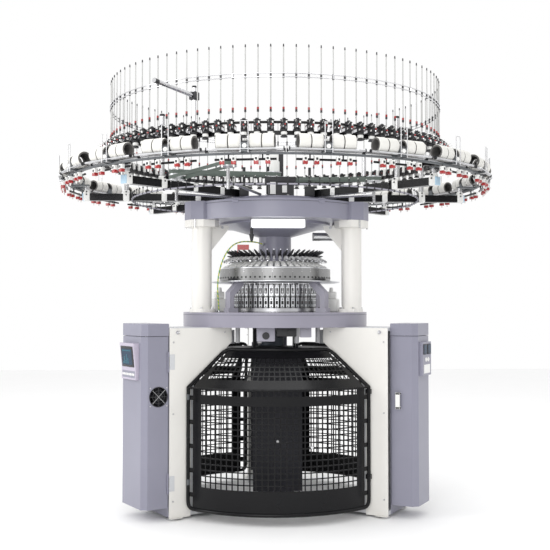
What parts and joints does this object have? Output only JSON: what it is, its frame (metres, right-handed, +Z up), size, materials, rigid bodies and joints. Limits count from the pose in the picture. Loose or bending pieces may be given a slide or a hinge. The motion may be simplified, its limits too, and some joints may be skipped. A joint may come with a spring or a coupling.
{
  "type": "circular knitting machine",
  "caption": "Circular knitting machine: ring bed on legs with cabinets and guard gates, needle cylinder, columns, top frame, and a creel of feeder and bobbin rings.",
  "frame": {"origin": "on the floor, on the needle cylinder's axis", "axes": "+Z up along the cylinder's axis; the front gate faces -Y, and the operator panel's leg stands towards -X and -Y"},
  "size_m": [2.7584, 2.7584, 2.675],
  "materials": {
    "cream_paint": "satin",
    "blue_grey_paint": "satin",
    "grey_paint": "satin",
    "light_grey_paint": "satin",
    "black_paint": "satin",
    "machined_steel": "brushed",
    "gear_steel": "machined and oiled",
    "silver_aluminium": "satin anodised",
    "bright_chrome": "polished",
    "white_plastic": "gloss",
    "black_plastic": "fine grain",
    "grey_plastic": "fine grain",
    "red_plastic": "gloss",
    "yarn_white": "wound elastane on paper cores",
    "black_rubber": "dull",
    "green_yellow_cable": "smooth jacket",
    "motor_paint": "satin",
    "grey_cast_iron": "painted cast"
  },
  "bodies": {
    "machine_frame": {"base_spider": "grey_cast_iron", "bed_ring_and_cover": "grey_paint", "cabinet_backs_and_lids": "blue_grey_paint", "cam_boxes": "silver_aluminium", "cam_carrier": "machined_steel", "cam_segments": "grey_paint", "columns": "cream_paint", "creel_arms": "black_paint", "creel_posts": "bright_chrome", "dial_cap": "silver_aluminium", "dial_hub": "blue_grey_paint", "disc_brackets": "light_grey_paint", "drive_and_junction_boxes": "black_plastic", "drive_motor": "motor_paint", "dust_disc": "silver_aluminium", "earth_lead": "green_yellow_cable", "earth_lead_terminals": "machined_steel", "elastane_bobbins": "yarn_white", "elastane_rail_and_housings": "grey_plastic", "elastane_rollers": "machined_steel", "feeder_belt": "black_rubber", "feeder_bodies": "black_plastic", "feeder_rail": "black_paint", "feeder_wheels": "black_plastic", "gate_lugs": "black_paint", "guard_wires": "white_plastic", "guide_ring": "grey_paint", "lamp_bar_and_work_lamp": "white_plastic", "leg_panels": "cream_paint", "legs": "light_grey_paint", "levelling_feet": "machined_steel", "outrigger": "bright_chrome", "sensor_bars": "black_paint", "top_frame_and_cover": "blue_grey_paint", "tube_hoops": "bright_chrome", "yarn_guides": "black_plastic", "yarn_sensors": "red_plastic", "yarn_tubes": "white_plastic"},
    "cylinder": {"cylinder_gear": "gear_steel", "needle_cylinder": "machined_steel", "takedown_frame": "grey_paint"},
    "dial": {"dial_and_shaft": "machined_steel", "dial_gear": "gear_steel"},
    "drive": {"drive_shaft": "gear_steel"},
    "roller_left": {"takedown_roller_left": "black_rubber"},
    "roller_right": {"takedown_roller_right": "black_rubber"},
    "winder": {"winding_bar": "machined_steel"},
    "front_gate": {"gate_front": "black_paint"},
    "right_gate": {"gate_right": "black_paint"},
    "left_gate": {"gate_left": "black_paint"},
    "left_cover": {"cabinet_cover_left": "blue_grey_paint", "control_panel": "light_grey_paint", "fan_frame_and_guard": "black_plastic"},
    "right_cover": {"cabinet_cover_right": "blue_grey_paint", "instrument_panel": "light_grey_paint", "pull_handle": "white_plastic"},
    "rear_cover": {"cabinet_cover_rear": "blue_grey_paint"},
    "rotor": {"fan_rotor": "black_plastic"},
    "start": {"start_button": "white_plastic"},
    "stop": {"stop_button": "white_plastic"}
  },
  "joints": [
    {"name": "cylinder_spin", "type": "hinge", "parent": "machine_frame", "child": "cylinder", "pos_m": [0, 0, 1.16], "axis": [0, 0, 1], "continuous": true},
    {"name": "dial_spin", "type": "hinge", "parent": "machine_frame", "child": "dial", "pos_m": [0, 0, 1.6], "axis": [0, 0, 1], "continuous": true},
    {"name": "drive_shaft_spin", "type": "hinge", "parent": "machine_frame", "child": "drive", "pos_m": [0, 0.54, 1.4], "axis": [0, 0, 1], "continuous": true},
    {"name": "roller_left_spin", "type": "hinge", "parent": "cylinder", "child": "roller_left", "pos_m": [-0.0252, 0, 0.82], "axis": [0, 1, 0], "continuous": true},
    {"name": "roller_right_spin", "type": "hinge", "parent": "cylinder", "child": "roller_right", "pos_m": [0.0252, 0, 0.82], "axis": [0, 1, 0], "continuous": true},
    {"name": "winding_bar_spin", "type": "hinge", "parent": "cylinder", "child": "winder", "pos_m": [0, 0, 0.43], "axis": [0, 1, 0], "continuous": true},
    {"name": "front_gate_hinge", "type": "hinge", "parent": "machine_frame", "child": "front_gate", "pos_m": [0.53591, -0.51752, 0.5], "axis": [0, 0, 1], "range_deg": [0, 100]},
    {"name": "right_gate_hinge", "type": "hinge", "parent": "machine_frame", "child": "right_gate", "pos_m": [0.18023, 0.72287, 0.5], "axis": [0, 0, 1], "range_deg": [0, 100]},
    {"name": "left_gate_hinge", "type": "hinge", "parent": "machine_frame", "child": "left_gate", "pos_m": [-0.71614, -0.20535, 0.5], "axis": [0, 0, 1], "range_deg": [0, 100]},
    {"name": "left_cover_hinge", "type": "hinge", "parent": "machine_frame", "child": "left_cover", "pos_m": [-0.65139, -0.56776, 0.57], "axis": [0, 0, 1], "range_deg": [0, 95]},
    {"name": "right_cover_hinge", "type": "hinge", "parent": "machine_frame", "child": "right_cover", "pos_m": [0.79989, -0.31055, 0.57], "axis": [0, 0, 1], "range_deg": [0, 95]},
    {"name": "rear_cover_hinge", "type": "hinge", "parent": "machine_frame", "child": "rear_cover", "pos_m": [-0.131, 0.848, 0.57], "axis": [0, 0, 1], "range_deg": [0, 95]},
    {"name": "fan_spin", "type": "hinge", "parent": "left_cover", "child": "rotor", "pos_m": [-0.71849, -0.56955, 0.724], "axis": [0.5, -0.866, 0], "continuous": true},
    {"name": "start_press", "type": "slide", "parent": "right_cover", "child": "start", "axis": [-0.866, 0.5, 0], "range_m": [0, 0.003], "stiffness_N_per_m": 600, "springref_m": -0.001},
    {"name": "stop_press", "type": "slide", "parent": "right_cover", "child": "stop", "axis": [-0.866, 0.5, 0], "range_m": [0, 0.003], "stiffness_N_per_m": 600, "springref_m": -0.001}
  ],
  "couplings": [
    {"joint": "dial_spin", "follows": "cylinder_spin", "ratio": 1},
    {"joint": "drive_shaft_spin", "follows": "cylinder_spin", "ratio": -13.211},
    {"joint": "roller_right_spin", "follows": "roller_left_spin", "ratio": -1}
  ]
}
